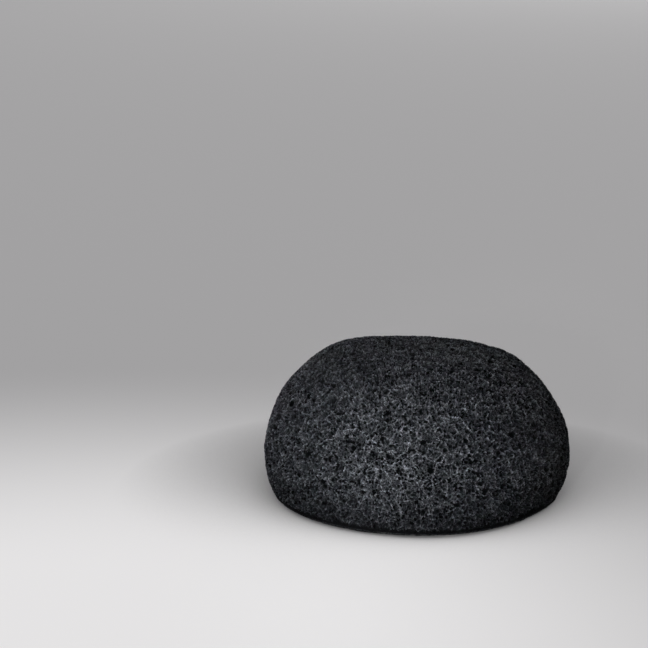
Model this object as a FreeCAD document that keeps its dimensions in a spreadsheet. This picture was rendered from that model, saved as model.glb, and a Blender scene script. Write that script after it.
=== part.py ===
"""Konjac sponge: a cast half ball of vegetable foam, lying on its flat face.

The casting is set in a turned bowl that stood a little out of level, so its crown leans
while the poured face stays flat.  Three zones of the casting are built as bodies of their
own: the open pored rind that formed against the bowl, the coarser foam inside it, and the
skin of the poured face with its rounded lip.

Frame: millimetres, +Z up, the poured face on Z = 0, the crown's high side towards -X.
"""
import FreeCAD, Part
import math
import os
import Sketcher

# Driving sizes of the casting: name, value in millimetres or degrees, what it sets.
SIZES = [
    ("width", 80.0, "diameter of the widest ring"),
    ("height", 39.6, "crown above the poured face, along the bowl's axis"),
    ("widest_height", 11.9, "widest ring above the poured face"),
    ("crown_radius", 200.0, "arc of the nearly flat crown"),
    ("foot_tuck", 2.9, "draw-in of the side from the widest ring to the poured face"),
    ("foot_radius", 3.0, "rounded edge round the poured face"),
    ("bowl_tilt", 1.35, "lean of the bowl's axis towards +X, in degrees"),
    ("rind_thickness", 3.0, "open pored rind over the crown and the side"),
    ("base_skin_thickness", 1.4, "skin of the poured face"),
]

# Curves of the turned sketch, in the order in which they are added, and the points of a curve.
CROWN, SHOULDER, FLANK, BOTTOM, AXIS = range(5)
START, END, CENTRE = range(1, 4)
ORIGIN, V_AXIS = range(-1, -3, -1)

# The side's arc meets the widest ring upright and passes the poured face drawn in by the tuck.
FLANK_RADIUS = "(Sizes.widest_height^2 + Sizes.foot_tuck^2) / (2 * Sizes.foot_tuck)"
# The turned form runs on below the poured face far enough for the lean of its axis.
OVERRUN = "Sizes.width * tan(Sizes.bowl_tilt) + Sizes.foot_radius"
# How far a flat cut may lie from the height that was asked for, in millimetres.
LEVEL_TOLERANCE = 0.01


def size_sheet(doc):
    """Write the driving sizes to a spreadsheet with one alias for each of them.

    Args:
        doc: The open document.

    Returns:
        The sizes by name, as numbers.
    """
    sheet = doc.addObject("Spreadsheet::Sheet", "Sizes")
    for row, (name, value, meaning) in enumerate(SIZES, start=1):
        sheet.set(f"A{row}", meaning)
        sheet.set(f"B{row}", str(value))
        sheet.setAlias(f"B{row}", name)
    doc.recompute()
    return {name: float(sheet.get(name)) for name, _, _ in SIZES}


def origin_plane(body, role):
    """Find one of a body's own origin planes by its role."""
    return next(item for item in body.Origin.OriginFeatures if item.Role == role)


def new_body(doc, label):
    """Add an empty body that carries a node's name."""
    body = doc.addObject("PartDesign::Body", label)
    body.Label = label
    return body


def turned_sketch(body, name, size, inset):
    """Draw half of the bowl's section, leaned with the bowl's axis.

    Args:
        body: The body that owns the sketch.
        name: The sketch's name.
        size: The driving sizes as numbers, which place the geometry before it is solved.
        inset: Name of the size by which the section lies inside the bowl, or None.

    Returns:
        The sketch, with every dimension bound to the spreadsheet.
    """
    depth = size[inset] if inset else 0.0
    inside = f" - Sizes.{inset}" if inset else ""
    half_width = size["width"] / 2 - depth
    top = size["height"] - depth
    level = size["widest_height"]
    rise = size["height"] - level
    crown_r = size["crown_radius"] - depth
    reach = 2 * size["crown_radius"] * rise - (size["width"] / 2) ** 2 - rise**2
    shoulder_r = reach / (2 * size["crown_radius"] - size["width"]) - depth
    flank_r = (level**2 + size["foot_tuck"] ** 2) / (2 * size["foot_tuck"]) - depth
    overrun = size["width"] * math.tan(math.radians(size["bowl_tilt"])) + size["foot_radius"]

    upright = FreeCAD.Vector(0, 0, 1)
    crown_centre = FreeCAD.Vector(0, top - crown_r, 0)
    shoulder_centre = FreeCAD.Vector(half_width - shoulder_r, level, 0)
    flank_centre = FreeCAD.Vector(half_width - flank_r, level, 0)
    turn = math.atan2(shoulder_centre.y - crown_centre.y, shoulder_centre.x)
    tuck = math.asin((level + overrun) / flank_r)
    foot = FreeCAD.Vector(flank_centre.x + flank_r * math.cos(tuck), -overrun, 0)
    low = FreeCAD.Vector(0, -overrun, 0)

    sketch = body.newObject("Sketcher::SketchObject", name)
    sketch.AttachmentSupport = (origin_plane(body, "XZ_Plane"), [""])
    sketch.MapMode = "FlatFace"
    sketch.setExpression(
        "AttachmentOffset",
        "placement(vector(0; 0; 0); rotation(vector(0; 0; 1); -Sizes.bowl_tilt);"
        " vector(0; Sizes.widest_height; 0))",
    )
    sketch.addGeometry(
        [
            Part.ArcOfCircle(Part.Circle(crown_centre, upright, crown_r), turn, math.pi / 2),
            Part.ArcOfCircle(Part.Circle(shoulder_centre, upright, shoulder_r), 0, turn),
            Part.ArcOfCircle(Part.Circle(flank_centre, upright, flank_r), -tuck, 0),
            Part.LineSegment(foot, low),
            Part.LineSegment(low, FreeCAD.Vector(0, top, 0)),
        ],
        False,
    )
    shape_rules = [
        ("Tangent", CROWN, START, SHOULDER, END),
        ("Tangent", SHOULDER, START, FLANK, END),
        ("Coincident", FLANK, START, BOTTOM, START),
        ("Coincident", BOTTOM, END, AXIS, START),
        ("Coincident", AXIS, END, CROWN, END),
        ("PointOnObject", CROWN, CENTRE, V_AXIS),
        ("PointOnObject", AXIS, START, V_AXIS),
        ("PointOnObject", AXIS, END, V_AXIS),
        ("Horizontal", BOTTOM),
        ("Horizontal", SHOULDER, CENTRE, SHOULDER, START),
    ]
    for rule in shape_rules:
        sketch.addConstraint(Sketcher.Constraint(*rule))
    widest = (ORIGIN, START, SHOULDER, START)
    dimensions = [
        ("half_width", f"Sizes.width / 2{inside}", ("DistanceX", *widest, half_width)),
        ("widest_level", "Sizes.widest_height", ("DistanceY", *widest, level)),
        ("crown_top", f"Sizes.height{inside}", ("DistanceY", ORIGIN, START, AXIS, END, top)),
        ("crown_arc", f"Sizes.crown_radius{inside}", ("Radius", CROWN, crown_r)),
        ("flank_arc", f"{FLANK_RADIUS}{inside}", ("Radius", FLANK, flank_r)),
        ("overrun", OVERRUN, ("DistanceY", AXIS, START, ORIGIN, START, overrun)),
    ]
    for label, expression, rule in dimensions:
        number = sketch.addConstraint(Sketcher.Constraint(*rule))
        sketch.renameConstraint(number, label)
        sketch.setExpression(f"Constraints.{label}", expression)
    return sketch


def turn_solid(body, sketch, name):
    """Turn a section about its own leaned axis into the body's first solid."""
    turned = body.newObject("PartDesign::Revolution", name)
    turned.Profile = sketch
    turned.ReferenceAxis = (sketch, ["V_Axis"])
    turned.Angle = 360
    return turned


def level_cut(doc, body, name, size, level=None, keep_below=False):
    """Cut a body flat at one height.

    Args:
        doc: The open document.
        body: The body that is cut.
        name: The name of the cut.
        size: The driving sizes as numbers.
        level: Name of the size that gives the height of the cut, or None for the poured face.
        keep_below: Whether the material under the cut is the part that stays.

    Returns:
        The pocket, after a check that it took the right side away.
    """
    doc.recompute()
    before = body.Shape.Volume
    sketch = body.newObject("Sketcher::SketchObject", f"{name}_outline")
    sketch.AttachmentSupport = (origin_plane(body, "XY_Plane"), [""])
    sketch.MapMode = "FlatFace"
    if level:
        sketch.setExpression("AttachmentOffset.Base.z", f"Sizes.{level}")
    sketch.addGeometry(Part.Circle(FreeCAD.Vector(), FreeCAD.Vector(0, 0, 1), size["width"]), False)
    sketch.addConstraint(Sketcher.Constraint("Coincident", 0, CENTRE, ORIGIN, START))
    number = sketch.addConstraint(Sketcher.Constraint("Radius", 0, size["width"]))
    sketch.renameConstraint(number, "clear_radius")
    sketch.setExpression("Constraints.clear_radius", "Sizes.width")
    cut = body.newObject("PartDesign::Pocket", name)
    cut.Profile = sketch
    cut.Type = "ThroughAll"
    cut.Reversed = keep_below
    doc.recompute()
    height = size[level] if level else 0.0
    corners = [corner.Z for corner in body.Shape.Vertexes]
    edge = max(corners) if keep_below else min(corners)
    if body.Shape.Volume >= before or abs(edge - height) > LEVEL_TOLERANCE:
        raise RuntimeError(f"{name} cut the wrong side away")
    return cut


def round_foot(doc, body, cut, name):
    """Round the edge round the poured face of a body.

    Args:
        doc: The open document.
        body: The body that is rounded.
        cut: The cut that made the poured face.
        name: The name of the rounding.

    Returns:
        The fillet, bound to the foot's radius.
    """
    doc.recompute()
    poured = min(cut.Shape.Faces, key=lambda face: face.CenterOfMass.z)
    edges = [
        f"Edge{number}"
        for number, edge in enumerate(cut.Shape.Edges, start=1)
        if any(edge.isSame(rim) for rim in poured.Edges)
    ]
    rounding = body.newObject("PartDesign::Fillet", name)
    rounding.Base = (cut, edges)
    rounding.setExpression("Radius", "Sizes.foot_radius")
    return rounding


def cast_form(doc, label, size):
    """Build the whole casting's outer form as a body: turned, cut flat and rounded at the foot."""
    body = new_body(doc, label)
    sketch = turned_sketch(body, f"{label}_section", size, None)
    turn_solid(body, sketch, f"{label}_turned")
    poured = level_cut(doc, body, f"{label}_poured_face", size)
    round_foot(doc, body, poured, f"{label}_foot")
    return body


def build_dome_rind(doc, size):
    """Build the rind: the outer form above the base skin, hollowed for the foam inside it."""
    body = cast_form(doc, "dome_rind", size)
    level_cut(doc, body, "rind_lower_edge", size, level="base_skin_thickness")
    sketch = turned_sketch(body, "rind_inner_section", size, "rind_thickness")
    hollow = body.newObject("PartDesign::Groove", "rind_hollow")
    hollow.Profile = sketch
    hollow.ReferenceAxis = (sketch, ["V_Axis"])
    hollow.Angle = 360
    return body


def build_foam_core(doc, size):
    """Build the foam inside: the same turned form inset by the rind, standing on the base skin."""
    body = new_body(doc, "foam_core")
    sketch = turned_sketch(body, "core_section", size, "rind_thickness")
    turn_solid(body, sketch, "core_turned")
    level_cut(doc, body, "core_lower_face", size, level="base_skin_thickness")
    return body


def build_base_skin(doc, size):
    """Build the skin of the poured face: the foot of the outer form with its rounded lip."""
    body = cast_form(doc, "base_skin", size)
    level_cut(doc, body, "skin_upper_face", size, level="base_skin_thickness", keep_below=True)
    return body


def check_document(doc, bodies):
    """Stop if any object of the document failed, or if a body is not one sound solid."""
    for item in doc.Objects:
        if any(word in item.State for word in ("Invalid", "Error")):
            raise RuntimeError(f"{item.Name} did not build: {item.State}")
    for body in bodies:
        shape = body.Shape
        if shape.isNull() or not shape.isValid() or len(shape.Solids) != 1:
            raise RuntimeError(f"{body.Label} is not one sound solid")


def main():
    """Build the three bodies, check them and write one file for each."""
    doc = FreeCAD.newDocument("konjac_sponge")
    size = size_sheet(doc)
    bodies = [build_dome_rind(doc, size), build_foam_core(doc, size), build_base_skin(doc, size)]
    doc.recompute()
    check_document(doc, bodies)
    os.makedirs("parts", exist_ok=True)
    for body in bodies:
        body.Shape.exportStep(f"parts/{body.Label}.step")
        box = body.Shape.optimalBoundingBox(False)
        print(
            f"{body.Label}: volume {body.Shape.Volume:.1f}"
            f" x {box.XMin:.2f}..{box.XMax:.2f} y {box.YMin:.2f}..{box.YMax:.2f}"
            f" z {box.ZMin:.2f}..{box.ZMax:.2f}"
        )


main()
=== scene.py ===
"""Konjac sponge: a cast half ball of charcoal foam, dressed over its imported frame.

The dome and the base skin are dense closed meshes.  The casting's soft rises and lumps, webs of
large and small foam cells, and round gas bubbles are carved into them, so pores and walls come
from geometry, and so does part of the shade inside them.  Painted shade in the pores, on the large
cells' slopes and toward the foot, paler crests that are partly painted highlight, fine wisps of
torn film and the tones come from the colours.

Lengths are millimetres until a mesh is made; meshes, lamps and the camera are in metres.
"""

import itertools
import logging
import math
from collections.abc import Iterator
from dataclasses import dataclass, field
from enum import Enum

import bpy
import numpy as np
from mathutils import Euler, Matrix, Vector


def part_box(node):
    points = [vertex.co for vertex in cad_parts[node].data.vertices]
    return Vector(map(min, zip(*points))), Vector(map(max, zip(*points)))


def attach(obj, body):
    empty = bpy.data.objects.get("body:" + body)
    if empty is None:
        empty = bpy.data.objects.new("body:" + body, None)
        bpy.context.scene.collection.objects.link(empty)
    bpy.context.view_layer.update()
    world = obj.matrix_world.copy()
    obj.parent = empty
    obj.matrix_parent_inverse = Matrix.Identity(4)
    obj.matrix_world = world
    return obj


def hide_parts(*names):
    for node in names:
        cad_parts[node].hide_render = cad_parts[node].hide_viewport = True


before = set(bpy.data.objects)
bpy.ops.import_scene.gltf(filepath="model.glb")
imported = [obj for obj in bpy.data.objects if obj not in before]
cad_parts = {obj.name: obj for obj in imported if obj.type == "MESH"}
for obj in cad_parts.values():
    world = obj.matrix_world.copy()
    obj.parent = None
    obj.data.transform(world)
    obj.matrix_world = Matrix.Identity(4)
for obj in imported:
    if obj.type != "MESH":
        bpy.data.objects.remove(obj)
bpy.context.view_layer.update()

LOG = logging.getLogger("konjac_sponge")
MM = 0.001
BODY = "root"
PORE = "pore_depth"
# Paleness of each vertex, with painted shade on cell slopes and toward the foot and partly painted
# highlight on crests and rims.
PALE_WITH_PAINTED_SHADE_AND_HIGHLIGHT = "paleness"
SAME_LENGTH = 1e-9
OPEN_BEAM = 90.0
FINE_STEP = 0.20
BASE_STEP_RATIO = 2


class Slot(Enum):
    """Material slots of the record that the visible pieces stand for; each piece keeps its slot, but
    its finish is given apart from it.
    """

    RIND = "rind"
    BASE = "base"


class Facing(Enum):
    """Which way a turned grid of quads looks."""

    UP = 1
    DOWN = -1


class Ramp(Enum):
    """How a range node goes from one end of its range to the other."""

    EVEN = "LINEAR"
    SOFT = "SMOOTHSTEP"


def smooth_step(value: np.ndarray, low: float, high: float) -> np.ndarray:
    """Rise smoothly from 0 at low to 1 at high.

    Args:
        value: The values to map.
        low: Where the rise starts.
        high: Where the rise ends.

    Returns:
        The mapped values, between 0 and 1.
    """
    share = np.clip((value - low) / (high - low), 0.0, 1.0)
    return share * share * (3.0 - 2.0 * share)


def ball_depth(
    away: np.ndarray, normals: np.ndarray, square: np.ndarray, radius: np.ndarray
) -> np.ndarray:
    """Find how far balls reach behind the points of a surface that lie inside them.

    Args:
        away: The way from a ball's middle to each point.
        normals: Outward normals at the points.
        square: The square of each way's length.
        radius: The radius of each ball.

    Returns:
        The depth behind each point, 0 where it lies outside its ball.
    """
    along = np.einsum("ij,ij->i", away, normals)
    chord = np.maximum(along**2 - square + radius**2, 0.0)
    return np.where(square < radius**2, along + np.sqrt(chord), 0.0)


@dataclass(frozen=True)
class Arc:
    """An arc of the turned section, from a start to a stop angle about its centre."""

    centre_r: float
    centre_z: float
    radius: float
    start: float
    stop: float

    @property
    def length(self) -> float:
        """Length of the arc."""
        return self.radius * abs(self.start - self.stop)

    def at(self, run: np.ndarray) -> np.ndarray:
        """Read the arc at distances along it.

        Args:
            run: Distances from the arc's start.

        Returns:
            Radius, height and the two parts of the outward normal, one row for each distance.
        """
        turn = self.start + (self.stop - self.start) * run / self.length
        out_r = np.cos(turn)
        out_z = np.sin(turn)
        return np.stack(
            [self.centre_r + self.radius * out_r, self.centre_z + self.radius * out_z, out_r, out_z],
            axis=1,
        )


@dataclass(frozen=True)
class Flat:
    """The level stretch of the section under the sponge, from the axis outwards."""

    length: float

    def at(self, run: np.ndarray) -> np.ndarray:
        """Read the level stretch at distances from the axis, in the same columns as an arc."""
        return np.stack([run, np.zeros_like(run), np.zeros_like(run), -np.ones_like(run)], axis=1)


@dataclass(frozen=True)
class Section:
    """A chain of stretches that meet end to end, read by the distance along it."""

    stretches: tuple[Arc | Flat, ...]

    @property
    def length(self) -> float:
        """Length of the whole chain."""
        return sum(stretch.length for stretch in self.stretches)

    def at(self, run: np.ndarray) -> np.ndarray:
        """Read the chain at distances from its start.

        Args:
            run: Distances along the chain.

        Returns:
            Radius, height and the two parts of the outward normal, one row for each distance.
        """
        rows = np.zeros((len(run), 4))
        begin = 0.0
        for stretch in self.stretches:
            inside = run >= begin - SAME_LENGTH
            rows[inside] = stretch.at(np.minimum(run[inside] - begin, stretch.length))
            begin += stretch.length
        return rows


@dataclass(frozen=True)
class Swell:
    """A soft rise or hollow of the casting, centred on a point of its surface."""

    place: tuple[float, float, float]
    reach: float
    rise: float


@dataclass(frozen=True)
class BowlForm:
    """The casting's outer form: tangent arcs turned about an axis that leans, over a level foot."""

    seam_height: float
    width: float = 80.0
    height: float = 39.6
    widest_height: float = 11.9
    crown_radius: float = 200.0
    foot_tuck: float = 2.9
    foot_radius: float = 3.0
    lean: float = math.radians(1.35)
    swells: tuple[Swell, ...] = (
        Swell((0.0, 20.0, 38.0), 14.0, -0.7),
        Swell((15.0, 22.0, 36.0), 7.0, -0.5),
        Swell((-21.0, 13.0, 36.0), 11.0, 0.7),
        Swell((26.0, 12.0, 33.0), 9.0, 0.4),
        Swell((35.5, 6.0, 25.0), 8.0, -0.35),
        Swell((39.5, 2.0, 16.0), 6.0, 0.45),
        Swell((-38.0, -2.0, 21.0), 9.0, -0.6),
        Swell((31.0, -21.0, 2.0), 10.0, -1.1),
        Swell((6.0, -37.0, 3.0), 13.0, 0.9),
    )

    @property
    def half_width(self) -> float:
        """Radius of the widest ring."""
        return self.width / 2

    def foot_arc(self) -> tuple[Arc, Arc]:
        """Work out the side's lower arc and the rounded foot that ends it.

        Returns:
            The lower side, from the widest ring down, and the foot, down to the resting face.
        """
        side_r = (self.widest_height**2 + self.foot_tuck**2) / (2 * self.foot_tuck)
        side_centre = self.half_width - side_r
        drop = self.widest_height - self.foot_radius
        foot_centre = side_centre + math.sqrt((side_r - self.foot_radius) ** 2 - drop**2)
        turn = math.atan2(-drop, foot_centre - side_centre)
        side = Arc(side_centre, self.widest_height, side_r, 0.0, turn)
        return side, Arc(foot_centre, self.foot_radius, self.foot_radius, turn, -math.pi / 2)

    def seam_turn(self) -> float:
        """Angle on the rounded foot at which the base skin begins."""
        return math.asin((self.seam_height - self.foot_radius) / self.foot_radius)

    def dome_section(self) -> Section:
        """Work out the section of the dome.

        Returns:
            The section from the crown's middle down to the base skin.
        """
        rise = self.height - self.widest_height
        reach = 2 * self.crown_radius * rise - self.half_width**2 - rise**2
        shoulder_r = reach / (2 * (self.crown_radius - self.half_width))
        shoulder_centre = self.half_width - shoulder_r
        crown_centre = self.height - self.crown_radius
        turn = math.atan2(self.widest_height - crown_centre, shoulder_centre)
        side, foot = self.foot_arc()
        crown = Arc(0.0, crown_centre, self.crown_radius, math.pi / 2, turn)
        shoulder = Arc(shoulder_centre, self.widest_height, shoulder_r, turn, 0.0)
        edge = Arc(foot.centre_r, foot.centre_z, foot.radius, foot.start, self.seam_turn())
        return Section((crown, shoulder, side, edge))

    def base_section(self) -> Section:
        """Work out the section of the base skin.

        Returns:
            The section from the middle of the resting face out to the dome.
        """
        _, foot = self.foot_arc()
        lip = Arc(foot.centre_r, foot.centre_z, foot.radius, foot.stop, self.seam_turn())
        return Section((Flat(foot.centre_r), lip))

    def settle(self, points: np.ndarray, normals: np.ndarray) -> tuple[np.ndarray, np.ndarray]:
        """Lean the turned form over its level foot and add its soft rises and hollows.

        Args:
            points: Points of the turned form.
            normals: Outward normals at these points.

        Returns:
            The points and normals of the settled form.
        """
        side_height = self.widest_height - self.seam_height
        above = np.clip((points[:, 2] - self.seam_height) / side_height, 0.0, 1.0)
        turn = self.lean * above
        cos, sin = np.cos(turn), np.sin(turn)
        lift = points[:, 2] - self.widest_height
        leaned = points.copy()
        leaned[:, 0] = points[:, 0] * cos + lift * sin
        leaned[:, 2] = self.widest_height - points[:, 0] * sin + lift * cos
        outward = normals.copy()
        outward[:, 0] = normals[:, 0] * cos + normals[:, 2] * sin
        outward[:, 2] = normals[:, 2] * cos - normals[:, 0] * sin
        push = np.zeros(len(points))
        for swell in self.swells:
            apart = np.linalg.norm(leaned - np.array(swell.place), axis=1)
            push += swell.rise * np.exp(-((apart / swell.reach) ** 2))
        moved = outward * push[:, None]
        moved[:, 2] *= above
        return leaned + moved, outward


class LatticeNoise:
    """Seeded smooth noise between -1 and 1 over space, which repeats after SIDE lattice points."""

    SIDE = 64

    def __init__(self, wavelength: float, seed: int) -> None:
        """Set the noise up.

        Args:
            wavelength: Distance between the noise's lattice points.
            seed: Seed of the lattice's values.
        """
        self.wavelength = wavelength
        self.values = np.random.default_rng(seed).uniform(-1.0, 1.0, (self.SIDE,) * 3)

    def at(self, points: np.ndarray) -> np.ndarray:
        """Read the noise at points.

        Args:
            points: Points in space, one a row.

        Returns:
            One value for each point.
        """
        scaled = points / self.wavelength
        cell = np.floor(scaled).astype(int)
        share = scaled - cell
        share = share * share * share * (share * (share * 6.0 - 15.0) + 10.0)
        total = np.zeros(len(points))
        for corner in itertools.product((0, 1), repeat=3):
            weight = np.prod(np.where(corner, share, 1.0 - share), axis=1)
            i, j, k = ((cell + corner) % self.SIDE).T
            total += weight * self.values[i, j, k]
        return total


class SeedLattice:
    """Seeds scattered through a piece, one to each cube of a lattice."""

    SPARE = 2

    def __init__(self, points: np.ndarray, pitch: float, seed: int) -> None:
        """Scatter the seeds.

        Args:
            points: Points that the lattice covers, with SPARE cubes more all round.
            pitch: Side of a cube.
            seed: Seed of the scatter.
        """
        self.pitch = pitch
        self.rng = np.random.default_rng(seed)
        self.low = points.min(axis=0) - self.SPARE * pitch
        reach = np.ceil((points.max(axis=0) - self.low) / pitch).astype(int)
        self.count = tuple(reach + self.SPARE + 1)
        self.jitter = self.rng.random((math.prod(self.count), 3))

    def draw(self) -> np.ndarray:
        """Draw a number between 0 and 1 for each seed."""
        return self.rng.random(len(self.jitter))

    def neighbours(self, points: np.ndarray) -> Iterator[tuple[np.ndarray, np.ndarray]]:
        """Go through the seeds in and round the cube of each point.

        Args:
            points: Points inside the lattice.

        Yields:
            The way from a seed to each point, and that seed's number.
        """
        home = np.floor((points - self.low) / self.pitch).astype(int)
        for step in itertools.product((-1, 0, 1), repeat=3):
            cell = home + step
            number = np.ravel_multi_index(tuple(cell.T), self.count)
            yield points - ((cell + self.jitter[number]) * self.pitch + self.low), number


@dataclass(frozen=True)
class BubbleSize:
    """Gas bubbles of about one size, scattered through the foam."""

    spacing: float
    smallest: float
    largest: float
    share: float
    deepest: float
    seed: int

    def carve(self, points: np.ndarray, normals: np.ndarray) -> tuple[np.ndarray, np.ndarray]:
        """Find how far the bubbles that a surface cuts take it back.

        Args:
            points: Points of the surface.
            normals: Outward normals at these points.

        Returns:
            The depth of the hollow at each point, and the distance to the nearest bubble's wall,
            which is negative inside a bubble.
        """
        seeds = SeedLattice(points, self.spacing, self.seed)
        size = self.smallest + (self.largest - self.smallest) * seeds.draw()
        size[seeds.draw() > self.share] = 0.0
        depth = np.zeros(len(points))
        wall = np.full(len(points), self.spacing)
        for away, number in seeds.neighbours(points):
            radius = size[number]
            square = np.einsum("ij,ij->i", away, away)
            depth = np.maximum(depth, ball_depth(away, normals, square, radius))
            wall = np.where(radius > 0, np.minimum(wall, np.sqrt(square) - radius), wall)
        return np.minimum(depth, self.deepest), wall


@dataclass(frozen=True)
class WebCut:
    """What a web of cells does to each point of a surface."""

    back: np.ndarray
    window: np.ndarray
    pale: np.ndarray
    hollow: np.ndarray


@dataclass(frozen=True)
class CellWeb:
    """Foam cells packed wall to wall behind thin films, some of them with a round broken window."""

    pitch: float
    size_spread: float
    thread: float
    slope: float
    shallow_film: float
    deep_film: float
    film_paleness: float
    knot_paleness: float
    knot_reach: float
    window_share: float
    smallest_window: float
    largest_window: float
    window_depth: float
    seed: int
    least_apart: float = 0.3
    film_edge: float = 0.75

    def carve(self, points: np.ndarray, normals: np.ndarray) -> WebCut:
        """Find how far films and windows lie back behind the web of cell walls.

        Args:
            points: Points of the surface.
            normals: Outward normals at these points.

        Returns:
            The depth of the films and of the windows, how pale the foam is, and how far each point
            has left the crest of the cell walls, the last two from 0 to 1.
        """
        seeds = SeedLattice(points, self.pitch, self.seed)
        grown = (self.size_spread * self.pitch * seeds.draw()) ** 2
        window = self.smallest_window + (self.largest_window - self.smallest_window) * seeds.draw()
        window[seeds.draw() > self.window_share] = 0.0
        sunk = seeds.draw()
        first, second, third = (np.full(len(points), np.inf) for _ in range(3))
        first_way, second_way = np.zeros_like(points), np.zeros_like(points)
        film = np.zeros(len(points))
        depth = np.zeros(len(points))
        for away, number in seeds.neighbours(points):
            square = np.einsum("ij,ij->i", away, away)
            reach = square - grown[number]
            nearer = reach < first
            next_on = np.where(nearer[:, None], first_way, away)
            second_way = np.where((reach < second)[:, None], next_on, second_way)
            first_way = np.where(nearer[:, None], away, first_way)
            film = np.where(nearer, sunk[number], film)
            third = np.minimum(third, np.maximum(second, reach))
            second = np.minimum(second, np.maximum(first, reach))
            first = np.minimum(first, reach)
            depth = np.maximum(depth, ball_depth(away, normals, square, window[number]))
        apart = second_way - first_way
        apart -= normals * np.einsum("ij,ij->i", apart, normals)[:, None]
        between = np.maximum(np.linalg.norm(apart, axis=1), self.least_apart * self.pitch)
        into = (second - first) / (2 * between)
        hollow = smooth_step(into, 0.0, self.slope)
        back = hollow * (self.shallow_film + (self.deep_film - self.shallow_film) * film)
        thread = np.exp(-((into / self.thread) ** 2))
        knot = 1.0 - smooth_step((third - first) / (2 * self.pitch), 0.0, self.knot_reach)
        floor = smooth_step(hollow, self.film_edge, 1.0) * self.film_paleness * (1.0 - film)
        pale = np.maximum((1.0 - self.knot_paleness) * thread + self.knot_paleness * knot, floor)
        return WebCut(back, np.minimum(depth, self.window_depth), pale, hollow)


@dataclass(frozen=True)
class Lumps:
    """Soft unevenness of the casting at one scale."""

    length: float
    height: float
    seed: int

    def at(self, points: np.ndarray) -> np.ndarray:
        """Read the rise of the lumps at points."""
        return self.height * LatticeNoise(self.length, self.seed).at(points)


@dataclass(frozen=True)
class BrokenSurface:
    """The carved points of a foam surface and what its finish needs to know of them."""

    points: np.ndarray
    depth: np.ndarray
    pale: np.ndarray


@dataclass(frozen=True)
class FoamSurface:
    """The broken surface of the foam: lumps, large cells, round bubbles, then a web of small cells."""

    crest_rise: float
    lumps: tuple[Lumps, ...]
    large_cells: CellWeb
    large_painted_shade: float
    large_paleness: float
    bubbles: tuple[BubbleSize, ...]
    small_cells: CellWeb
    bends: tuple[Lumps, Lumps, Lumps]
    rim_width: float
    rim_paleness_and_highlight: float
    crest_falloff: int = 3

    def break_up(self, points: np.ndarray, normals: np.ndarray, strength: np.ndarray) -> BrokenSurface:
        """Carve the foam's surface.

        Args:
            points: Points of the smooth form.
            normals: Outward normals at these points.
            strength: Share of the carving that each point takes, from 0 to 1.

        Returns:
            The carved points, the depth of the open hollows and how pale the foam is, from 0 to 1,
            with painted shade on the slopes of the large cells and partly painted highlight on bubble
            rims.
        """
        rise = self.crest_rise + sum(lump.at(points) for lump in self.lumps)
        surface = points + normals * (rise * strength)[:, None]
        bent = surface + np.stack([bend.at(points) for bend in self.bends], axis=1)
        large = self.large_cells.carve(bent, normals)
        depth = np.zeros(len(points))
        rim = np.zeros(len(points))
        for bubble in self.bubbles:
            cut, near = bubble.carve(bent - normals * (large.back + depth)[:, None], normals)
            depth += cut
            # Partly painted highlight: the foam gets paler close round each bubble's rim.
            rim = np.maximum(rim, np.exp(-((near / self.rim_width) ** 2)))
        small = self.small_cells.carve(bent - normals * (large.back + depth)[:, None], normals)
        depth = depth + small.window
        # Painted shade: the paleness dims down the slopes of the large cells toward their hollows.
        light = 1.0 - self.large_painted_shade * (1.0 - (1.0 - large.hollow) ** self.crest_falloff)
        pale = np.maximum(small.pale, self.rim_paleness_and_highlight * rim) * light
        pale = np.maximum(pale, self.large_paleness * large.pale)
        back = (large.back + np.maximum(depth, small.back)) * strength
        return BrokenSurface(surface - normals * back[:, None], depth * strength, pale)


@dataclass(frozen=True)
class TurnedGrid:
    """Quads over a turned form: a square patch round its pole, then rings of one count."""

    section: Section
    patch_run: float
    step: float
    facing: Facing

    def layout(self) -> tuple[np.ndarray, np.ndarray, np.ndarray, np.ndarray]:
        """Lay the grid out.

        Returns:
            The distance along the section and the angle about the axis for each vertex, the
            quads, and the numbers of the vertices round the open rim.
        """
        rings = round(self.patch_run / self.step)
        line = np.arange(-rings, rings + 1)
        across, up = np.meshgrid(line, line, indexing="ij")
        wide = np.abs(across) >= np.abs(up)
        ring = np.where(wide, across, up).astype(float)
        other = np.where(wide, up, across)
        share = np.divide(other, ring, out=np.zeros_like(ring), where=ring != 0) * math.pi / 4
        turn = np.where(wide, share, math.pi / 2 - share)
        angle = np.arctan2(ring * np.sin(turn), ring * np.cos(turn)).ravel()
        run = (np.abs(ring) * self.patch_run / rings).ravel()

        side = 2 * rings + 1
        number = np.arange(side * side).reshape(side, side)
        patch = np.stack(
            [number[:-1, :-1], number[1:, :-1], number[1:, 1:], number[:-1, 1:]], axis=-1
        ).reshape(-1, 4)
        rim = np.concatenate(
            [number[-1, :-1], number[:0:-1, -1], number[0, :0:-1], number[:-1, 0]]
        )

        left = self.section.length - self.patch_run
        rows = max(1, round(left / self.step))
        first = side * side + np.arange(rows * len(rim)).reshape(rows, len(rim))
        below = np.vstack([rim, first])
        walls = np.stack(
            [below[:-1], below[1:], np.roll(below[1:], -1, axis=1), np.roll(below[:-1], -1, axis=1)],
            axis=-1,
        ).reshape(-1, 4)
        ring_run = self.patch_run + left * np.arange(1, rows + 1) / rows
        run = np.concatenate([run, np.repeat(ring_run, len(rim))])
        angle = np.concatenate([angle, np.tile(angle[rim], rows)])
        return run, angle, np.vstack([patch, walls]), below[-1]

    def points(self, run: np.ndarray, angle: np.ndarray) -> tuple[np.ndarray, np.ndarray]:
        """Turn the section into points and outward normals.

        Args:
            run: Distance along the section for each vertex.
            angle: Angle about the axis for each vertex.

        Returns:
            The points and their normals.
        """
        radius, height, out_r, out_z = self.section.at(run).T
        cos, sin = np.cos(angle), np.sin(angle)
        points = np.stack([radius * cos, radius * sin, height], axis=1)
        normals = np.stack([out_r * cos, out_r * sin, out_z], axis=1)
        return points, normals


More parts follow.
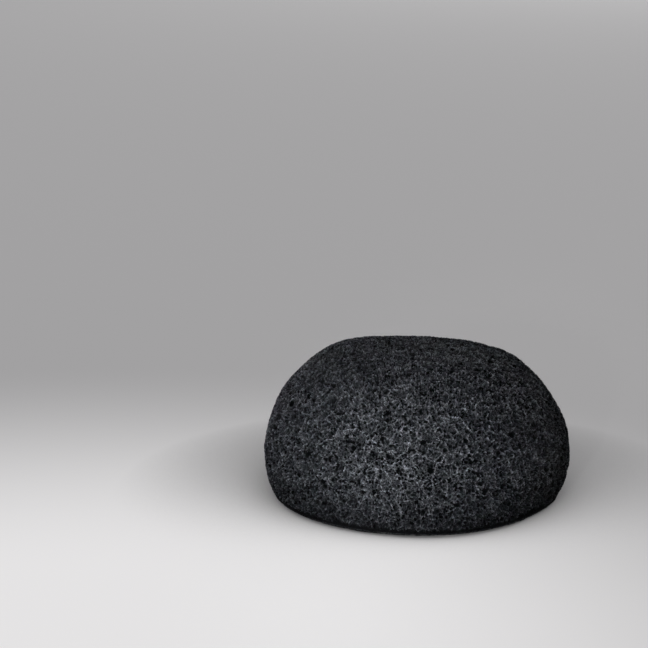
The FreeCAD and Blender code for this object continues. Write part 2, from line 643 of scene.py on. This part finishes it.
@dataclass
class FoamPiece:
    """One visible piece of foam: its form, its broken surface and the CAD nodes it stands for."""

    name: str
    form: BowlForm
    grid: TurnedGrid
    surface: FoamSurface
    slot: Slot
    nodes: tuple[str, ...]
    carve_fade: float
    # Painted shade toward the foot: how far it reaches, and how pale the seam stays.
    foot_shade_fade: float
    foot_painted_shade: float
    lip_rise: float = 0.0
    lip_paleness: float = 0.0
    lip_width: float = 0.30
    map_centre: float = 0.5
    map_radius: float = 0.49
    cap_centre: float = 0.066
    cap_radius: float = 0.060
    made: bpy.types.Object | None = field(default=None, init=False)

    def build(self) -> bpy.types.Object:
        """Build the closed mesh of the piece and tie it to the frame.

        Returns:
            The new object.
        """
        run, angle, quads, rim = self.grid.layout()
        turned, out = self.grid.points(run, angle)
        smooth, normals = self.form.settle(turned, out)
        to_seam = self.grid.section.length - run
        strength = smooth_step(to_seam, 0.0, self.carve_fade)
        broken = self.surface.break_up(smooth, normals, strength)
        # Painted shade: the paleness is lowered toward the seam at the foot, where the foam turns
        # under toward the floor.
        tone = self.foot_painted_shade + (1.0 - self.foot_painted_shade) * smooth_step(to_seam, 0.0, self.foot_shade_fade)
        lip = np.exp(-((to_seam / self.lip_width - 1.0) ** 2))
        lip_push = self.lip_rise * lip * smooth_step(to_seam, 0.0, self.lip_width)
        points = broken.points + normals * lip_push[:, None]
        points[:, 2] = np.maximum(points[:, 2], 0.0)
        pale = np.maximum(broken.pale * tone * strength, self.lip_paleness * lip)
        middle = np.array([[0.0, 0.0, points[rim, 2].mean()]])
        vertices = np.vstack([points, middle])
        caps = np.stack([np.roll(rim, -1), rim, np.full(len(rim), len(points))], axis=1)
        if self.grid.facing is Facing.DOWN:
            quads, caps = quads[:, ::-1], caps[:, ::-1]
        mesh = self.new_mesh(vertices * MM, quads, caps)
        self.add_attribute(mesh, PORE, np.append(broken.depth, 0.0))
        self.add_attribute(mesh, PALE_WITH_PAINTED_SHADE_AND_HIGHLIGHT, np.append(pale, 0.0))
        self.add_map(mesh, run, angle, quads, caps, vertices)
        self.made = bpy.data.objects.new(self.name, mesh)
        bpy.context.collection.objects.link(self.made)
        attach(self.made, BODY)
        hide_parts(*self.nodes)
        LOG.info("%s: %d vertices, deepest pore %.2f mm", self.name, len(vertices), broken.depth.max())
        return self.made

    def new_mesh(self, vertices: np.ndarray, quads: np.ndarray, caps: np.ndarray) -> bpy.types.Mesh:
        """Make a smooth mesh from quads and the triangles of its hidden cap.

        Args:
            vertices: Vertex positions in metres.
            quads: Four vertex numbers a row.
            caps: Three vertex numbers a row.

        Returns:
            The new mesh.
        """
        mesh = bpy.data.meshes.new(self.name)
        corners = np.concatenate([quads.ravel(), caps.ravel()])
        sizes = np.concatenate([np.full(len(quads), 4), np.full(len(caps), 3)])
        mesh.vertices.add(len(vertices))
        mesh.vertices.foreach_set("co", vertices.ravel())
        mesh.loops.add(len(corners))
        mesh.loops.foreach_set("vertex_index", corners)
        mesh.polygons.add(len(sizes))
        mesh.polygons.foreach_set("loop_start", np.cumsum(sizes) - sizes)
        rounded = np.append(np.ones(len(quads), bool), np.zeros(len(caps), bool))
        mesh.polygons.foreach_set("use_smooth", rounded)
        mesh.update(calc_edges=True)
        mesh.validate()
        return mesh

    @staticmethod
    def add_attribute(mesh: bpy.types.Mesh, name: str, values: np.ndarray) -> None:
        """Keep one number for each vertex on a mesh, for its material."""
        layer = mesh.attributes.new(name, "FLOAT", "POINT")
        layer.data.foreach_set("value", values.astype(np.float32))

    def add_map(
        self,
        mesh: bpy.types.Mesh,
        run: np.ndarray,
        angle: np.ndarray,
        quads: np.ndarray,
        caps: np.ndarray,
        vertices: np.ndarray,
    ) -> None:
        """Unroll the piece: the open surface as a disc, the hidden cap as a small disc in a corner.

        Args:
            mesh: The mesh that gets the map.
            run: Distance along the section for each open vertex.
            angle: Angle about the axis for each open vertex.
            quads: The open quads.
            caps: The cap's triangles.
            vertices: All points, in millimetres.
        """
        spread = self.map_radius * run / run.max()
        disc = self.map_centre + np.stack([spread * np.cos(angle), spread * np.sin(angle)], axis=1)
        hidden = self.cap_centre + self.cap_radius * vertices[:, :2] / self.form.half_width
        layer = mesh.uv_layers.new(name="OFBake")
        places = np.concatenate([disc[quads.ravel()], hidden[caps.ravel()]])
        layer.data.foreach_set("uv", places.ravel().astype(np.float32))

    def dress(self, material: bpy.types.Material) -> None:
        """Give the piece its finish."""
        self.made.data.materials.append(material)


def add_math(
    nodes: bpy.types.Nodes, operation: str, value: float | None = None
) -> bpy.types.Node:
    """Add a node that works on numbers.

    Args:
        nodes: The nodes that it joins.
        operation: What it does with its numbers.
        value: Its second number, where that one is fixed.

    Returns:
        The new node.
    """
    node = nodes.new("ShaderNodeMath")
    node.operation = operation
    if value is not None:
        node.inputs[1].default_value = value
    return node


def add_range(
    nodes: bpy.types.Nodes,
    taken: tuple[float, float],
    given: tuple[float, float] = (0.0, 1.0),
    ramp: Ramp = Ramp.EVEN,
) -> bpy.types.Node:
    """Add a node that maps one range onto another.

    Args:
        nodes: The nodes that it joins.
        taken: The range of its input.
        given: The range of its output.
        ramp: How it goes from one end to the other.

    Returns:
        The new node.
    """
    node = nodes.new("ShaderNodeMapRange")
    node.interpolation_type = ramp.value
    for label, value in zip(("From Min", "From Max", "To Min", "To Max"), (*taken, *given)):
        node.inputs[label].default_value = value
    return node


def add_noise(nodes: bpy.types.Nodes, values: dict[str, float]) -> bpy.types.Node:
    """Add a node with soft noise.

    Args:
        nodes: The nodes that it joins.
        values: The fixed value of each input that has one, by its name.

    Returns:
        The new node.
    """
    node = nodes.new("ShaderNodeTexNoise")
    for label, value in values.items():
        node.inputs[label].default_value = value
    return node


def add_mix(nodes: bpy.types.Nodes) -> bpy.types.Node:
    """Add a node that mixes two colours.

    Args:
        nodes: The nodes that it joins.

    Returns:
        The new node.
    """
    node = nodes.new("ShaderNodeMix")
    node.data_type = "RGBA"
    return node


@dataclass(frozen=True)
class WispLook:
    """Sizes of the fine wisps of torn film and of the grain on them, per millimetre."""

    detail: float = 1.5
    roughness: float = 0.5
    distortion: float = 0.5
    middle: float = 0.5
    half_width: float = 0.12
    grain_scale: float = 5.0
    grain_detail: float = 3.0
    grain_height: float = 0.5


@dataclass(frozen=True)
class ToneLook:
    """How the charcoal tone clouds, and how much paler its crests and wisps are; the paler crests are
    partly painted highlight.
    """

    cloud_scale: float = 0.22
    cloud_detail: float = 4.0
    cloud_range: tuple[float, float] = (0.3, 0.7)
    cloud_shade: tuple[float, float] = (0.55, 1.15)
    wisp_shade: tuple[float, float] = (0.45, 1.60)
    crest_power: float = 2.5
    roughness: tuple[float, float] = (0.85, 0.55)


class NodeGroups:
    """Shader node groups that both foam finishes share."""

    def __init__(self) -> None:
        """Build each group once."""
        self.wisps = self.build_wisps(WispLook())
        self.tone = self.build_tone(ToneLook())

    @staticmethod
    def new_group(
        name: str, inputs: dict[str, tuple[str, object]], outputs: dict[str, str]
    ) -> bpy.types.NodeTree:
        """Make an empty group with named sockets.

        Args:
            name: The group's name.
            inputs: Socket type and default value for each input's name.
            outputs: Socket type for each output's name.

        Returns:
            The group, with its input and output nodes.
        """
        group = bpy.data.node_groups.new(name, "ShaderNodeTree")
        for label, (kind, value) in inputs.items():
            socket = group.interface.new_socket(label, in_out="INPUT", socket_type=kind)
            if value is not None:
                socket.default_value = value
        for label, kind in outputs.items():
            group.interface.new_socket(label, in_out="OUTPUT", socket_type=kind)
        group.nodes.new("NodeGroupInput")
        group.nodes.new("NodeGroupOutput")
        return group

    @staticmethod
    def ends(group: bpy.types.NodeTree) -> tuple[bpy.types.Node, bpy.types.Node]:
        """Find a group's input and output nodes."""
        return group.nodes["Group Input"], group.nodes["Group Output"]

    def build_wisps(self, look: WispLook) -> bpy.types.NodeTree:
        """Build the fine wisps of torn film that lie over walls and cells.

        Args:
            look: The sizes of wisps and grain.

        Returns:
            A group that turns a place in millimetres into a wisp mask and a height.
        """
        group = self.new_group(
            "torn_wisps",
            {"Place": ("NodeSocketVector", None), "Wisps per mm": ("NodeSocketFloat", 1.0)},
            {"Wisp": "NodeSocketFloat", "Height": "NodeSocketFloat"},
        )
        start, end = self.ends(group)
        nodes, links = group.nodes, group.links
        line = add_noise(
            nodes,
            {"Detail": look.detail, "Roughness": look.roughness, "Distortion": look.distortion},
        )
        from_middle = add_math(nodes, "SUBTRACT", look.middle)
        off = add_math(nodes, "ABSOLUTE")
        wisp = add_range(nodes, (0.0, look.half_width), (1.0, 0.0), Ramp.SOFT)
        grain = add_noise(nodes, {"Scale": look.grain_scale, "Detail": look.grain_detail})
        height = add_math(nodes, "MULTIPLY_ADD", look.grain_height)
        links.new(start.outputs["Place"], line.inputs["Vector"])
        links.new(start.outputs["Wisps per mm"], line.inputs["Scale"])
        links.new(line.outputs["Fac"], from_middle.inputs[0])
        links.new(from_middle.outputs["Value"], off.inputs[0])
        links.new(off.outputs["Value"], wisp.inputs["Value"])
        links.new(start.outputs["Place"], grain.inputs["Vector"])
        links.new(grain.outputs["Fac"], height.inputs[0])
        links.new(wisp.outputs["Result"], height.inputs[2])
        links.new(wisp.outputs["Result"], end.inputs["Wisp"])
        links.new(height.outputs["Value"], end.inputs["Height"])
        return group

    def build_tone(self, look: ToneLook) -> bpy.types.NodeTree:
        """Build the charcoal tone: painted shade in the hollows, paler on wisps and thin walls, partly
        as painted highlight, and clouded.

        Args:
            look: The clouding and the paleness of crests and wisps.

        Returns:
            A group that puts out a colour and a roughness.
        """
        group = self.new_group(
            "charcoal_tone",
            {
                "Place": ("NodeSocketVector", None),
                "Pore": ("NodeSocketFloat", 0.0),
                "Pale": ("NodeSocketFloat", 0.0),
                "Wisp": ("NodeSocketFloat", 0.0),
                "Pore shade reach": ("NodeSocketFloat", 0.5),
                "Painted pore shade colour": ("NodeSocketColor", (0.01, 0.01, 0.01, 1.0)),
                "Foam colour": ("NodeSocketColor", (0.05, 0.05, 0.05, 1.0)),
                "Film and highlight colour": ("NodeSocketColor", (0.12, 0.12, 0.12, 1.0)),
            },
            {"Color": "NodeSocketColor", "Roughness": "NodeSocketFloat"},
        )
        start, end = self.ends(group)
        nodes, links = group.nodes, group.links
        cloud = add_noise(nodes, {"Scale": look.cloud_scale, "Detail": look.cloud_detail})
        shade = add_range(nodes, look.cloud_range, look.cloud_shade)
        on_wisp = add_range(nodes, (0.0, 1.0), look.wisp_shade)
        crest = add_math(nodes, "POWER", look.crest_power)
        both = add_math(nodes, "MULTIPLY")
        pale = add_math(nodes, "MULTIPLY")
        lift = add_mix(nodes)
        sink = add_range(nodes, (0.0, 1.0), ramp=Ramp.SOFT)
        dark = add_mix(nodes)
        rough = add_range(nodes, (0.0, 1.0), look.roughness)
        links.new(start.outputs["Place"], cloud.inputs["Vector"])
        links.new(cloud.outputs["Fac"], shade.inputs["Value"])
        links.new(start.outputs["Wisp"], on_wisp.inputs["Value"])
        links.new(start.outputs["Pale"], crest.inputs[0])
        links.new(crest.outputs["Value"], both.inputs[0])
        links.new(on_wisp.outputs["Result"], both.inputs[1])
        links.new(both.outputs["Value"], pale.inputs[0])
        links.new(shade.outputs["Result"], pale.inputs[1])
        # Partly painted highlight: paler crests and threads go toward the film colour, which is partly
        # their own tone.
        links.new(pale.outputs["Value"], lift.inputs["Factor"])
        links.new(start.outputs["Foam colour"], lift.inputs["A"])
        links.new(start.outputs["Film and highlight colour"], lift.inputs["B"])
        # Painted shade: the deeper a pore, the more its colour goes to the pore shade colour.
        links.new(start.outputs["Pore"], sink.inputs["Value"])
        links.new(start.outputs["Pore shade reach"], sink.inputs["From Max"])
        links.new(sink.outputs["Result"], dark.inputs["Factor"])
        links.new(lift.outputs["Result"], dark.inputs["A"])
        links.new(start.outputs["Painted pore shade colour"], dark.inputs["B"])
        links.new(pale.outputs["Value"], rough.inputs["Value"])
        links.new(dark.outputs["Result"], end.inputs["Color"])
        links.new(rough.outputs["Result"], end.inputs["Roughness"])
        return group


@dataclass(frozen=True)
class FoamFinish:
    """Finish of one zone of the foam."""

    name: str
    painted_pore_shade_colour: tuple[float, float, float]
    foam_colour: tuple[float, float, float]
    film_and_highlight_colour: tuple[float, float, float]
    pore_shade_reach: float
    wisps_per_mm: float
    bump_depth: float
    bump_strength: float
    specular: float

    def make(self, groups: NodeGroups) -> bpy.types.Material:
        """Build the material.

        Args:
            groups: The shared node groups.

        Returns:
            The new material.
        """
        material = bpy.data.materials.new(self.name)
        material.use_nodes = True
        nodes, links = material.node_tree.nodes, material.node_tree.links
        shader = nodes["Principled BSDF"]
        shader.inputs["Specular IOR Level"].default_value = self.specular
        place = nodes.new("ShaderNodeTexCoord")
        to_mm = nodes.new("ShaderNodeVectorMath")
        to_mm.operation = "SCALE"
        to_mm.inputs["Scale"].default_value = 1.0 / MM
        wisps = nodes.new("ShaderNodeGroup")
        wisps.node_tree = groups.wisps
        wisps.inputs["Wisps per mm"].default_value = self.wisps_per_mm
        tone = nodes.new("ShaderNodeGroup")
        tone.node_tree = groups.tone
        tone.inputs["Pore shade reach"].default_value = self.pore_shade_reach
        tone.inputs["Painted pore shade colour"].default_value = (*self.painted_pore_shade_colour, 1.0)
        tone.inputs["Foam colour"].default_value = (*self.foam_colour, 1.0)
        tone.inputs["Film and highlight colour"].default_value = (*self.film_and_highlight_colour, 1.0)
        bump = nodes.new("ShaderNodeBump")
        bump.inputs["Distance"].default_value = self.bump_depth * MM
        bump.inputs["Strength"].default_value = self.bump_strength
        links.new(place.outputs["Object"], to_mm.inputs[0])
        links.new(to_mm.outputs["Vector"], wisps.inputs["Place"])
        links.new(to_mm.outputs["Vector"], tone.inputs["Place"])
        for label, socket in ((PORE, "Pore"), (PALE_WITH_PAINTED_SHADE_AND_HIGHLIGHT, "Pale")):
            kept = nodes.new("ShaderNodeAttribute")
            kept.attribute_name = label
            links.new(kept.outputs["Fac"], tone.inputs[socket])
        links.new(wisps.outputs["Wisp"], tone.inputs["Wisp"])
        links.new(wisps.outputs["Height"], bump.inputs["Height"])
        links.new(bump.outputs["Normal"], shader.inputs["Normal"])
        links.new(tone.outputs["Color"], shader.inputs["Base Color"])
        links.new(tone.outputs["Roughness"], shader.inputs["Roughness"])
        return material


@dataclass(frozen=True)
class Lamp:
    """A square soft box aimed at the sponge, open or with a grid that narrows its beam."""

    name: str
    azimuth: float
    elevation: float
    distance: float
    side: float
    level: float
    half_beam: float = OPEN_BEAM
    aim: tuple[float, float, float] = (0.0, 0.0, 0.02)

    def beam_gain(self) -> float:
        """Work out how much brighter the grid makes the middle of the beam.

        Returns:
            The gain, 1 for an open box.
        """
        if self.half_beam >= OPEN_BEAM:
            return 1.0
        half = math.radians(self.half_beam)
        return math.tan(half) / (math.tan(half) - half)

    def place(self) -> None:
        """Hang the lamp."""
        light = bpy.data.lights.new(self.name, "AREA")
        light.size = self.side
        light.spread = math.radians(2 * self.half_beam)
        light.energy = self.level * (math.pi * self.distance) ** 2 / self.beam_gain()
        lamp = bpy.data.objects.new(self.name, light)
        turn, rise = math.radians(self.azimuth), math.radians(self.elevation)
        level_way = Vector((math.sin(turn), -math.cos(turn), 0.0))
        back = level_way * math.cos(rise) + Vector((0.0, 0.0, math.sin(rise)))
        lamp.location = Vector(self.aim) + back * self.distance
        lamp.rotation_euler = (-back).to_track_quat("-Z", "Y").to_euler()
        lamp.visible_camera = False
        bpy.context.collection.objects.link(lamp)


@dataclass(frozen=True)
class Studio:
    """Pale floor with a painted pool of light and a painted contact shadow, soft lamps and the camera
    at the photograph's angle.
    """

    frame_pixels: float = 648.0
    focal_pixels: float = 2324.0
    sensor: float = 36.0
    near_clip: float = 0.01
    far_clip: float = 20.0
    distance: float = 0.620
    elevation: float = math.radians(18.0)
    tilt_down: float = math.radians(13.89)
    pan_left: float = math.radians(2.36)
    floor_reach: float = 3.0
    floor_sides: int = 96
    floor_drop: float = 0.0001
    floor_roughness: float = 0.9
    floor_bounce: float = 0.15
    # Painted pool of light: the floor's glow colour at its middle and far from it.
    floor_colour: tuple[float, float, float] = (0.765, 0.755, 0.76)
    far_colour: tuple[float, float, float] = (0.345, 0.34, 0.345)
    painted_light_pool: tuple[float, float, float] = (-0.08, -0.12, 0.0)
    painted_light_pool_reach: tuple[float, float] = (0.055, 0.25)
    # Painted contact shadow: which way the occlusion looks, how far it reaches and how strongly it
    # darkens the glow.
    open_side: tuple[float, float, float] = (0.06, -0.74, 0.67)
    painted_shadow_reach: float = 0.042
    painted_shadow_depth: float = 2.1
    world_level: float = 0.015
    lamps: tuple[Lamp, ...] = (
        Lamp(
            name="key_gridded_box",
            azimuth=-11.0,
            elevation=14.0,
            distance=0.60,
            side=0.04,
            level=1.70,
            half_beam=4.4,
            aim=(-0.007, -0.036, 0.0187),
        ),
        Lamp("fill_soft_box", azimuth=-30.0, elevation=18.0, distance=0.80, side=0.35, level=0.07),
        Lamp("back_soft_box", azimuth=168.0, elevation=8.0, distance=1.60, side=0.90, level=0.36),
        Lamp("side_soft_box", azimuth=112.0, elevation=8.0, distance=1.20, side=0.60, level=0.06),
    )

    def build(self) -> None:
        """Set the whole stage up."""
        scene = bpy.context.scene
        scene.view_settings.view_transform = "Standard"
        for lamp in self.lamps:
            lamp.place()
        self.build_world(scene)
        self.build_floor()
        self.build_camera(scene)

    def build_world(self, scene: bpy.types.Scene) -> None:
        """Light the scene evenly and weakly from all round.

        Args:
            scene: The scene that gets the light.
        """
        world = bpy.data.worlds.new("studio_air")
        world.use_nodes = True
        shade = world.node_tree.nodes["Background"]
        shade.inputs["Color"].default_value = (1.0, 1.0, 1.0, 1.0)
        shade.inputs["Strength"].default_value = self.world_level
        scene.world = world

    def build_floor(self) -> None:
        """Lay the pale floor that the sponge rests on."""
        mesh = bpy.data.meshes.new("floor")
        turns = np.linspace(0.0, 2 * math.pi, self.floor_sides, endpoint=False)
        edge = [(self.floor_reach * math.cos(t), self.floor_reach * math.sin(t), 0.0) for t in turns]
        mesh.from_pydata(edge, [], [list(range(len(edge)))])
        floor = bpy.data.objects.new("floor", mesh)
        floor.location.z = -self.floor_drop
        bpy.context.collection.objects.link(floor)
        floor.data.materials.append(self.floor_material())

    def floor_material(self) -> bpy.types.Material:
        """Build the floor's finish: a glow seen by the camera and in reflections, with a painted pool
        of light fading away from its middle and a painted contact shadow beside the sponge.

        Returns:
            The new material.
        """
        material = bpy.data.materials.new("floor_with_painted_light_and_shadow")
        material.use_nodes = True
        nodes, links = material.node_tree.nodes, material.node_tree.links
        shader = nodes["Principled BSDF"]
        shader.inputs["Roughness"].default_value = self.floor_roughness
        shader.inputs["Specular IOR Level"].default_value = 0.0
        shader.inputs["Base Color"].default_value = (self.floor_bounce,) * 3 + (1.0,)
        # Painted pool of light: the glow fades from the floor colour to the far colour away from the
        # pool's middle.
        place = nodes.new("ShaderNodeTexCoord")
        apart = nodes.new("ShaderNodeVectorMath")
        apart.operation = "DISTANCE"
        apart.inputs[1].default_value = self.painted_light_pool
        fade = add_range(nodes, self.painted_light_pool_reach, ramp=Ramp.SOFT)
        tint = add_mix(nodes)
        tint.inputs["A"].default_value = (*self.floor_colour, 1.0)
        tint.inputs["B"].default_value = (*self.far_colour, 1.0)
        # Painted contact shadow: ambient occlusion darkens the floor's glow beside and behind the
        # sponge.
        corner = nodes.new("ShaderNodeAmbientOcclusion")
        corner.inputs["Distance"].default_value = self.painted_shadow_reach
        open_way = nodes.new("ShaderNodeCombineXYZ")
        for socket, value in zip(open_way.inputs, self.open_side):
            socket.default_value = value
        seen = nodes.new("ShaderNodeLightPath")
        shown = add_math(nodes, "ADD")
        shown.use_clamp = True
        deep = add_math(nodes, "POWER", self.painted_shadow_depth)
        shade = add_math(nodes, "MULTIPLY")
        links.new(place.outputs["Object"], apart.inputs[0])
        links.new(apart.outputs["Value"], fade.inputs["Value"])
        links.new(fade.outputs["Result"], tint.inputs["Factor"])
        links.new(tint.outputs["Result"], shader.inputs["Emission Color"])
        links.new(seen.outputs["Is Camera Ray"], shown.inputs[0])
        links.new(seen.outputs["Is Glossy Ray"], shown.inputs[1])
        links.new(shown.outputs["Value"], shade.inputs[0])
        links.new(open_way.outputs["Vector"], corner.inputs["Normal"])
        links.new(corner.outputs["AO"], deep.inputs[0])
        links.new(deep.outputs["Value"], shade.inputs[1])
        links.new(shade.outputs["Value"], shader.inputs["Emission Strength"])
        return material

    def build_camera(self, scene: bpy.types.Scene) -> None:
        """Stand the camera where the photograph was taken from, at the photograph's angle.

        Args:
            scene: The scene that is seen through it.
        """
        data = bpy.data.cameras.new("camera")
        data.sensor_width = self.sensor
        data.lens = self.sensor * self.focal_pixels / self.frame_pixels
        data.clip_start = self.near_clip
        data.clip_end = self.far_clip
        camera = bpy.data.objects.new("camera", data)
        camera.location = (
            0.0,
            -self.distance * math.cos(self.elevation),
            self.distance * math.sin(self.elevation),
        )
        camera.rotation_euler = Euler((math.pi / 2 - self.tilt_down, 0.0, self.pan_left))
        bpy.context.collection.objects.link(camera)
        scene.camera = camera


RIND_FOAM = FoamSurface(
    crest_rise=0.35,
    lumps=(Lumps(8.0, 0.26, 21), Lumps(3.2, 0.14, 22)),
    large_cells=CellWeb(
        pitch=2.3,
        size_spread=0.75,
        thread=0.20,
        slope=0.55,
        shallow_film=0.20,
        deep_film=0.95,
        film_paleness=0.0,
        knot_paleness=0.20,
        knot_reach=0.25,
        window_share=0.0,
        smallest_window=0.0,
        largest_window=0.0,
        window_depth=0.0,
        seed=14,
    ),
    large_painted_shade=0.35,
    large_paleness=0.60,
    bubbles=(
        BubbleSize(spacing=4.0, smallest=0.50, largest=0.90, share=0.55, deepest=1.6, seed=11),
        BubbleSize(spacing=1.9, smallest=0.30, largest=0.60, share=0.35, deepest=1.0, seed=12),
    ),
    small_cells=CellWeb(
        pitch=0.80,
        size_spread=0.75,
        thread=0.16,
        slope=0.24,
        shallow_film=0.25,
        deep_film=0.70,
        film_paleness=0.78,
        knot_paleness=0.30,
        knot_reach=0.18,
        window_share=0.5,
        smallest_window=0.15,
        largest_window=0.48,
        window_depth=0.85,
        seed=13,
    ),
    bends=(Lumps(1.7, 0.36, 23), Lumps(1.7, 0.36, 24), Lumps(1.7, 0.36, 25)),
    rim_width=0.12,
    rim_paleness_and_highlight=0.6,
)
BASE_FOAM = FoamSurface(
    crest_rise=0.0,
    lumps=(Lumps(6.0, 0.05, 41), Lumps(2.5, 0.04, 42)),
    large_cells=CellWeb(
        pitch=2.6,
        size_spread=0.75,
        thread=0.16,
        slope=0.60,
        shallow_film=0.02,
        deep_film=0.12,
        film_paleness=0.0,
        knot_paleness=0.20,
        knot_reach=0.25,
        window_share=0.0,
        smallest_window=0.0,
        largest_window=0.0,
        window_depth=0.0,
        seed=34,
    ),
    large_painted_shade=0.30,
    large_paleness=0.60,
    bubbles=(BubbleSize(spacing=3.4, smallest=0.35, largest=0.70, share=0.35, deepest=0.7, seed=31),),
    small_cells=CellWeb(
        pitch=0.95,
        size_spread=0.75,
        thread=0.14,
        slope=0.25,
        shallow_film=0.02,
        deep_film=0.10,
        film_paleness=0.4,
        knot_paleness=0.20,
        knot_reach=0.20,
        window_share=0.5,
        smallest_window=0.10,
        largest_window=0.40,
        window_depth=0.35,
        seed=33,
    ),
    bends=(Lumps(1.9, 0.35, 43), Lumps(1.9, 0.35, 44), Lumps(1.9, 0.35, 45)),
    rim_width=0.16,
    rim_paleness_and_highlight=0.8,
)
RIND_FINISH = FoamFinish(
    name="charcoal_rind",
    # Painted shade colour for the deep pores.
    painted_pore_shade_colour=(0.0014, 0.0015, 0.0018),
    foam_colour=(0.0038, 0.0041, 0.0048),
    # Paler films and threads, partly painted highlight.
    film_and_highlight_colour=(0.485, 0.515, 0.575),
    pore_shade_reach=0.22,
    wisps_per_mm=1.1,
    bump_depth=0.14,
    bump_strength=0.8,
    specular=0.02,
)
# The base skin is darker than the rind: partly the skin's own tone, partly painted shade of the foot
# turning under toward the floor.
BASE_FINISH = FoamFinish(
    name="charcoal_base_skin",
    # Painted shade colour for the deep pores.
    painted_pore_shade_colour=(0.003, 0.003, 0.003),
    foam_colour=(0.0016, 0.0016, 0.0018),
    film_and_highlight_colour=(0.080, 0.082, 0.086),
    pore_shade_reach=0.42,
    wisps_per_mm=1.2,
    bump_depth=0.05,
    bump_strength=0.6,
    specular=0.02,
)


def build_pieces() -> list[FoamPiece]:
    """Lay out the dome and the base skin from the frame's sizes.

    Returns:
        The two pieces, not yet built.
    """
    seam = float(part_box("base_skin")[1].z) / MM
    form = BowlForm(seam_height=seam)
    step = FINE_STEP
    base_step = BASE_STEP_RATIO * step
    return [
        FoamPiece(
            name="dome_foam",
            form=form,
            grid=TurnedGrid(form.dome_section(), patch_run=36.0, step=step, facing=Facing.UP),
            surface=RIND_FOAM,
            slot=Slot.RIND,
            nodes=("dome_rind", "foam_core"),
            carve_fade=1.6,
            foot_shade_fade=15.0,
            foot_painted_shade=0.66,
        ),
        FoamPiece(
            name="base_skin_foam",
            form=form,
            grid=TurnedGrid(form.base_section(), patch_run=30.0, step=base_step, facing=Facing.DOWN),
            surface=BASE_FOAM,
            slot=Slot.BASE,
            nodes=("base_skin",),
            carve_fade=0.8,
            foot_shade_fade=30.0,
            foot_painted_shade=0.70,
            lip_rise=0.22,
            lip_paleness=1.0,
        ),
    ]


def main() -> None:
    """Build the pieces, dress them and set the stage."""
    logging.basicConfig(level=logging.INFO, format="%(name)s: %(message)s")
    groups = NodeGroups()
    for piece, finish in zip(build_pieces(), (RIND_FINISH, BASE_FINISH)):
        piece.build()
        piece.dress(finish.make(groups))
        LOG.info("%s dressed with %s", piece.name, finish.name)
    Studio().build()


if __name__ == "__main__":
    main()
